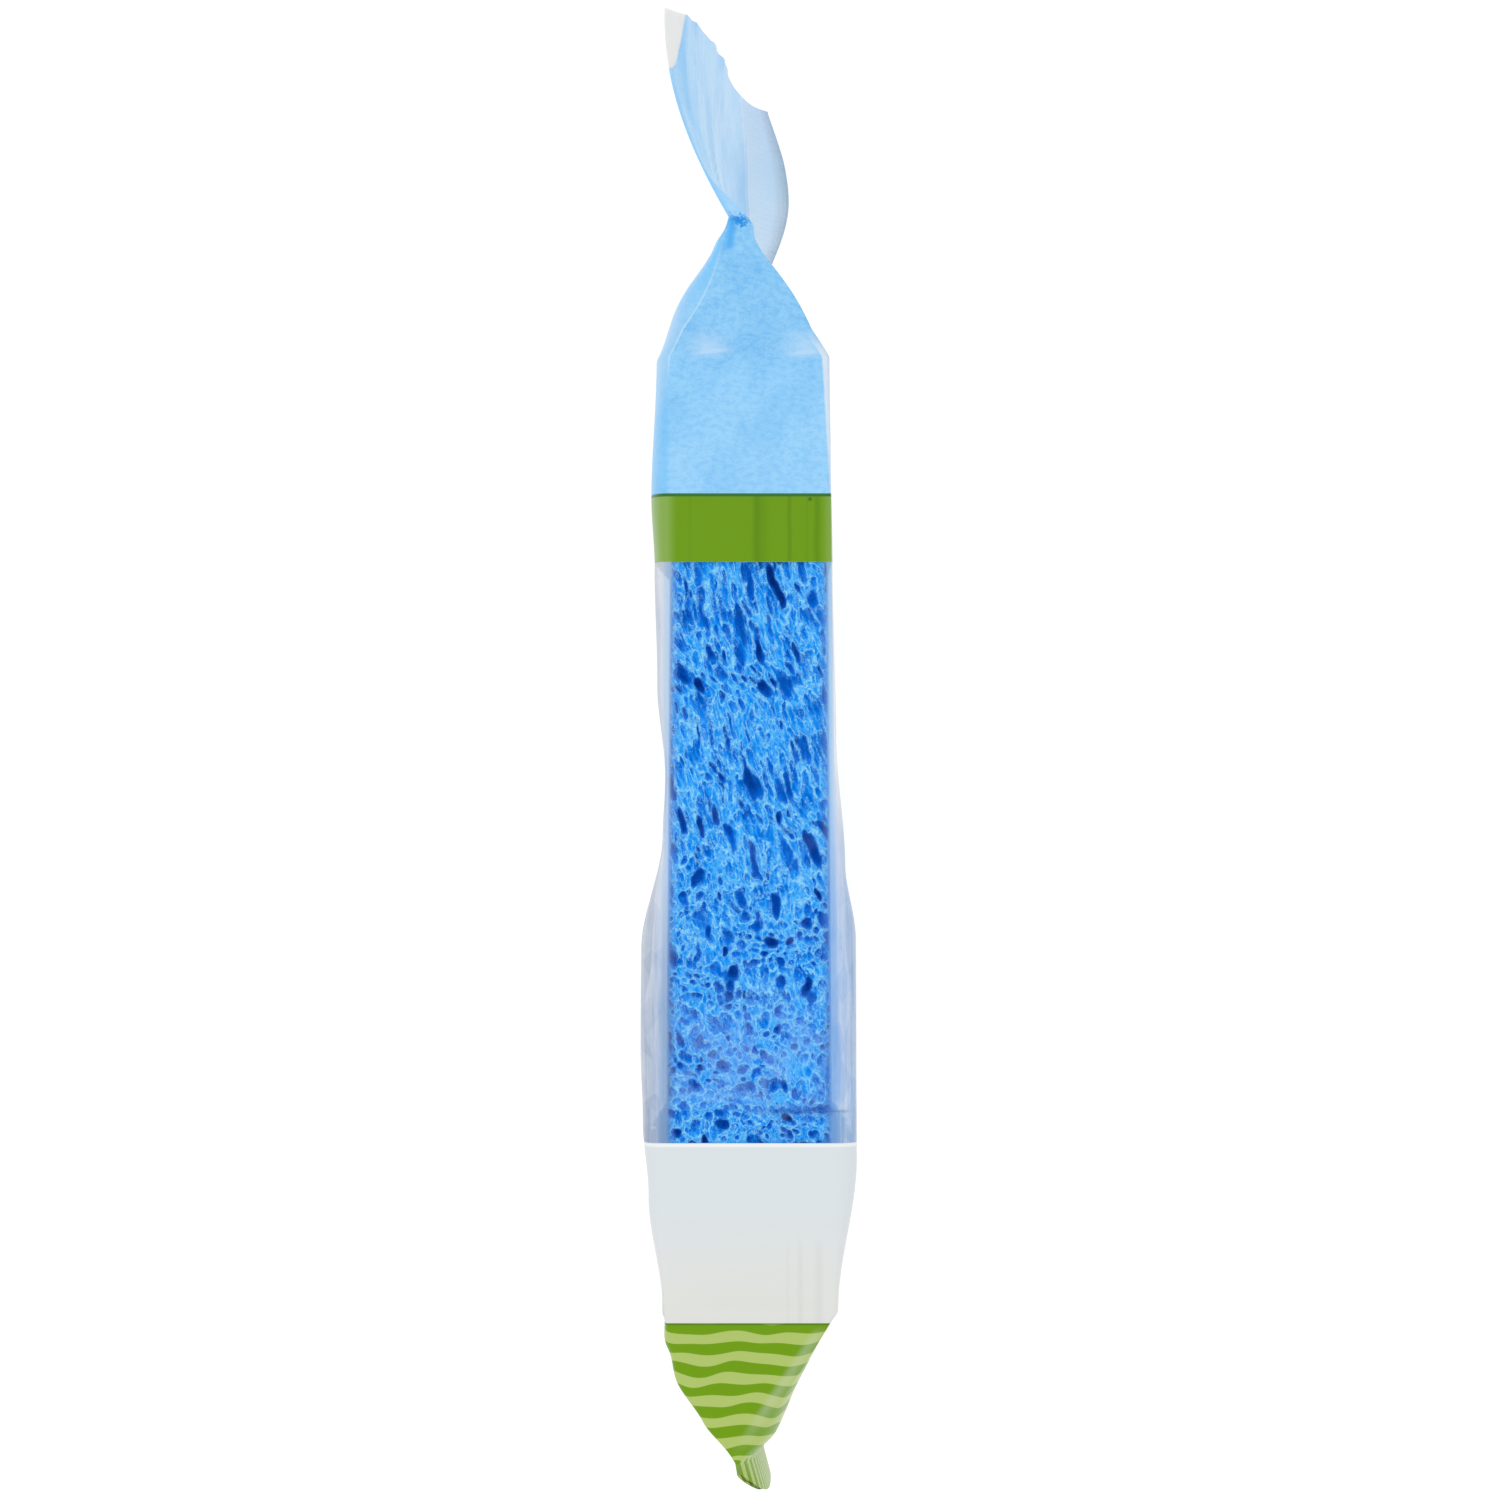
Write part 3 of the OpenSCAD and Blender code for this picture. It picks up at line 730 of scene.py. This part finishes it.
def film_material():
    """Printed bands round a clear window. The film's corners beside the sponge, where the film stands clear
    of it, are painted milky and pale: painted sheen on the corners and painted light from the bright floor
    seen through the film."""
    n = Nodes("printed_film")
    u, v, depth = n.attribute("web_u"), n.attribute("web_v"), n.attribute("web_depth")
    left, right = n.attribute("web_left"), n.attribute("web_right")
    web = n.add("ShaderNodeCombineXYZ", {}, [u, v, 0.0])
    turn = n.add("ShaderNodeMath", {"operation": "ARCTAN2"}, [depth, v - (HEAD_SEAL - 2.0)])
    fan = n.add("ShaderNodeCombineXYZ", {}, [turn * 9.0, v * 0.05, 0.0])
    edge = 0.05

    def above(level):
        return v.step(level - edge, level + edge)

    # Green band: darker lines along the pack, and paler where it rounds the corners
    wander = (v * 0.7).sine() * 0.04
    lines = (u + wander).near(1.2, 1.0) * 0.8 + u.near(2.2, 1.5) * 0.4 + (u - wander).near(6.5, 0.55) * 0.75
    lines = lines + (u + wander).near(10.9, 0.8) * 0.8 + u.near(9.3, 0.4) * 0.3 + u.near(-9.5, 0.4) * 0.25
    rim = (u.absolute()).step(11.4, 13.6)
    green = n.colour(lines.least(1.0) * 0.6, srgb(107, 154, 2), srgb(80, 128, 0))
    green = n.colour(rim * 0.5, green, srgb(158, 190, 112))
    green = n.colour(u.near(9.8, 0.5) * v.near(54.0, 0.5), green, srgb(52, 96, 24))
    # White band: cooler at the window, a painted highlight line there, and painted shade in soft folds by
    # the right corner
    white = n.colour(v.step(-78.0, -56.0), srgb(227, 228, 224), srgb(221, 228, 232))
    folds = u.near(8.2, 0.7) + u.near(6.2, 0.4) * 0.6 + u.near(11.2, 1.1)
    white = n.colour((folds * v.step(-63.0, -68.0)).least(1.0) * 0.5, white, srgb(216, 217, 215))
    white = n.colour(v.near(WINDOW_FROM - 0.35, 0.5) * 0.8, white, srgb(247, 249, 250))
    ink = n.colour(above(WHITE_FROM), foot_ink(n, u, v, depth, right), white)
    ink = n.colour(above(GREEN_FROM), ink, green)
    ink = n.colour(above(BLUE_FROM - 0.5), ink, srgb(52, 112, 52))
    head = head_ink(n, u, v, depth, left, n.attribute("web_back"), web, fan)
    # Painted sheen down the film's right side by the head
    painted_sheen = (right + (v - 55.0) * 0.055 + 0.2).step(0.0, 0.4) * v.step(81.0, 77.0) * depth.step(10.0, 1.0)
    painted_sheen = painted_sheen * (0.55 + n.noise(web, 0.8, 2.0) * 0.5)
    head = n.colour(painted_sheen.least(1.0), head, srgb(226, 235, 246))
    ink = n.colour(above(BLUE_FROM), ink, head)
    bare = (depth - ((v - BARE_FROM).most(0.0) / 8.5) ** 0.5 * 5.9).step(0.2, -0.2) * v.step(121.0, 121.6)
    ink = n.colour(bare, ink, srgb(244, 245, 245))

    # The window: clear on the sponge, and beside it painted milky and pale with painted sheen and painted
    # light from the floor seen through. On the lower right the sponge's blue is painted on as if seen
    # through the film, and the lower left is crumpled and grey, with painted highlights on its crumples.
    window = above(WINDOW_FROM) * (1.0 - above(GREEN_FROM))
    outside = left.most(right)
    low = v.step(14.0, -14.0)
    crumple = n.add("ShaderNodeMapping", {}, {"Vector": web, "Scale": (0.42, 0.2, 1.0)})
    crumple = n.add("ShaderNodeTexVoronoi", {}, {"Vector": crumple, "Scale": 1.0}, output="Color")
    facet = n.add("ShaderNodeSeparateColor", {}, [crumple])
    folds = n.add("ShaderNodeMapping", {}, {"Vector": web, "Scale": (1.6, 0.07, 1.0)})
    folds = n.noise(folds, 0.9, 3.0, 0.55)
    patch = n.noise(web, 0.16, 3.0, 0.6)
    right_low = n.colour(outside.step(0.0, 2.2), srgb(120, 170, 230), srgb(152, 186, 229))
    right_low = n.colour(outside.step(3.2, 6.2), right_low, srgb(196, 210, 230))
    right_up = n.colour(outside.step(-0.4, 1.3), srgb(150, 196, 238), srgb(250, 252, 254))
    left_low = n.colour(outside.step(0.2, 2.6), srgb(134, 166, 208), srgb(160, 176, 202))
    left_low = n.colour(outside.step(2.8, 4.4), left_low, srgb(196, 206, 220))
    left_up = n.colour(outside.step(-0.4, 1.2), srgb(170, 200, 234), srgb(208, 217, 230))
    # Painted highlights on the crumples and folds of the lower strips
    streak = (folds.step(0.32, 0.7) * 0.5 + facet.step(0.1, 0.9) * 0.3) * low * outside.step(0.0, 1.0)
    milk_right = n.colour(low, right_up, right_low)
    milk_left = n.colour(v.step(-2.0, -24.0), left_up, left_low)
    milk = n.colour(left.step(-3.0, -2.9), milk_right, milk_left)
    milk = n.colour(streak * 0.55, milk, srgb(236, 240, 246))
    milk = n.colour(depth.step(12.0, 30.0), milk, srgb(226, 232, 240))
    # Painted sheen along the film's corners beside the sponge, which also makes the film there less clear
    corner = outside.step(-2.2, -0.2) * 0.34 + outside.step(-1.0, -0.3) * 0.5
    fade = (depth + (patch - 0.5) * 22.0).step(26.0, 9.0)
    corner = corner * fade + (1.0 - fade) * 0.1
    bloom = v.step(-22.0, -33.0) * v.step(-44.6, -42.0) * patch.step(0.34, 0.56)
    fleece = n.noise(web, 0.9, 4.0, 0.7).step(0.3, 0.7)
    haze = corner + (low * patch.step(0.5, 0.7) * 0.06).most(bloom * (0.05 + fleece * 0.2)) + 0.003
    milk = n.colour(outside.step(-0.9, -2.4), milk, srgb(176, 216, 255))
    # A fold across the window with painted shadow along it, dark blue over the sponge and grey along its
    # ridge
    bent = v + (u * 0.5).sine() * 0.12
    fold = bent.near(FOLD_LINE, 1.3) * u.step(-1.0, 5.0) * u.step(14.5, 11.5) * (0.45 + fleece * 0.55)
    ridge_shade = bent.near(FOLD_LINE, 0.4) * u.step(4.0, 9.0) * u.step(17.5, 15.0)
    haze = (haze + fold * 0.55 + ridge_shade * 0.25).least(0.92)
    milk = n.colour((fold * 1.6).least(1.0) * outside.step(0.4, -0.4), milk, srgb(6, 82, 190))
    milk = n.colour(ridge_shade * 0.5, milk, srgb(96, 116, 160))
    ink = n.colour(window, ink, milk)
    cover = 1.0 - window * (1.0 - haze)
    cover = cover * (1.0 - bare * 0.12)

    # Crimped seals and a fine crackle
    sealed = v.step(HEAD_SEAL + 2, HEAD_SEAL + 6) * depth.step(90.0, 104.0)
    sealed = sealed + v.step(FOOT_SEAL, FOOT_SEAL - 1.0)
    turns = 2 * math.pi / CRIMP_PITCH
    crimp = (v * turns).sine() * 0.5 + (depth * turns).sine() * 0.3
    height = sealed * crimp * 0.1 + folds * 0.35 * window + patch * 0.3
    bump = n.add("ShaderNodeBump", {}, {"Strength": 0.5, "Distance": 0.001, "Height": height})
    printed = n.add("ShaderNodeBsdfPrincipled", {}, {
        "Base Color": ink, "Roughness": 0.32, "Specular IOR Level": 0.16, "Normal": bump,
    })
    clear = n.add("ShaderNodeBsdfTransparent", {}, {"Color": (1, 1, 1, 1)})
    return n.finish(n.blend(cover, clear, printed))


# ---------------------------------------------------------------------------
# Stage
# ---------------------------------------------------------------------------
FLOOR_REACH, FLOOR_DROP = 3000.0, 0.3   # half the floor's width, and how far it lies below the object
FLOOR_GLOW, FLOOR_SHADED = 0.8, 0.34    # to the camera: its own light, and what takes the shadow
SKY, SOFTBOX_WATTS = 0.93, 1.9


def make_floor():
    """White to the camera apart from the object's shadow, and plain pale to the light."""
    n = Nodes("white_floor")
    seen_by = [n.add("ShaderNodeLightPath", output=ray) for ray in (
        "Is Camera Ray", "Is Glossy Ray", "Is Transmission Ray")]
    path = seen_by[0].most(seen_by[1]).most(seen_by[2])
    matte = n.add("ShaderNodeBsdfDiffuse", {}, {"Color": (0.9, 0.9, 0.9, 1.0)})
    shaded = n.add("ShaderNodeBsdfDiffuse", {}, {"Color": (FLOOR_SHADED, FLOOR_SHADED, FLOOR_SHADED, 1.0)})
    glow = n.add("ShaderNodeEmission", {}, {"Color": (1, 1, 1, 1), "Strength": FLOOR_GLOW})
    seen = n.add("ShaderNodeAddShader", {}, [shaded, glow])
    material = n.finish(n.blend(path, matte, seen))
    signs = np.array([[-1, -1, 0], [1, -1, 0], [1, 1, 0], [-1, 1, 0]])
    corners = signs * FLOOR_REACH - [0, 0, FLOOR_DROP]
    floor = new_piece("floor", corners, [[0, 1, 2, 3]], {}, material, smooth=False)


def make_light():
    """An even white sky and one large weak softbox."""
    world = bpy.data.worlds.new("studio")
    bpy.context.scene.world = world
    world.use_nodes = True
    world.node_tree.nodes["Background"].inputs["Color"].default_value = (1, 1, 1, 1)
    world.node_tree.nodes["Background"].inputs["Strength"].default_value = SKY
    lamp = bpy.data.lights.new("softbox", "AREA")
    lamp.shape, lamp.size, lamp.energy = "SQUARE", 1.4, SOFTBOX_WATTS
    box = bpy.data.objects.new("softbox", lamp)
    box.location = (-0.45, 0.3, 1.5)
    box.rotation_euler = (math.radians(-11), math.radians(-17), 0)
    bpy.context.scene.collection.objects.link(box)


CAMERA_ABOVE = 740.0    # from the camera to the near panel
FRAME_WIDTH = 240.75    # what the frame spans at the near panel


def make_camera():
    """Looks straight down on the near panel."""
    data = bpy.data.cameras.new("camera")
    data.sensor_fit, data.sensor_width = "HORIZONTAL", 36.0
    data.lens = 36.0 * CAMERA_ABOVE / FRAME_WIDTH
    data.clip_start, data.clip_end = 0.01, 20
    eye = bpy.data.objects.new("camera", data)
    eye.location = (0.16 * MM, 13.7 * MM, (TUBE_TOP + CAMERA_ABOVE) * MM)
    bpy.context.scene.collection.objects.link(eye)
    bpy.context.scene.camera = eye


bpy.context.scene.view_settings.view_transform = "Standard"
make_camera()
make_light()
make_floor()

sponge = make_sponge(sponge_material())
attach(sponge, "root")
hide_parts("sponge")

film = make_film(film_material())
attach(film, "root")
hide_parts("film_wrapper")
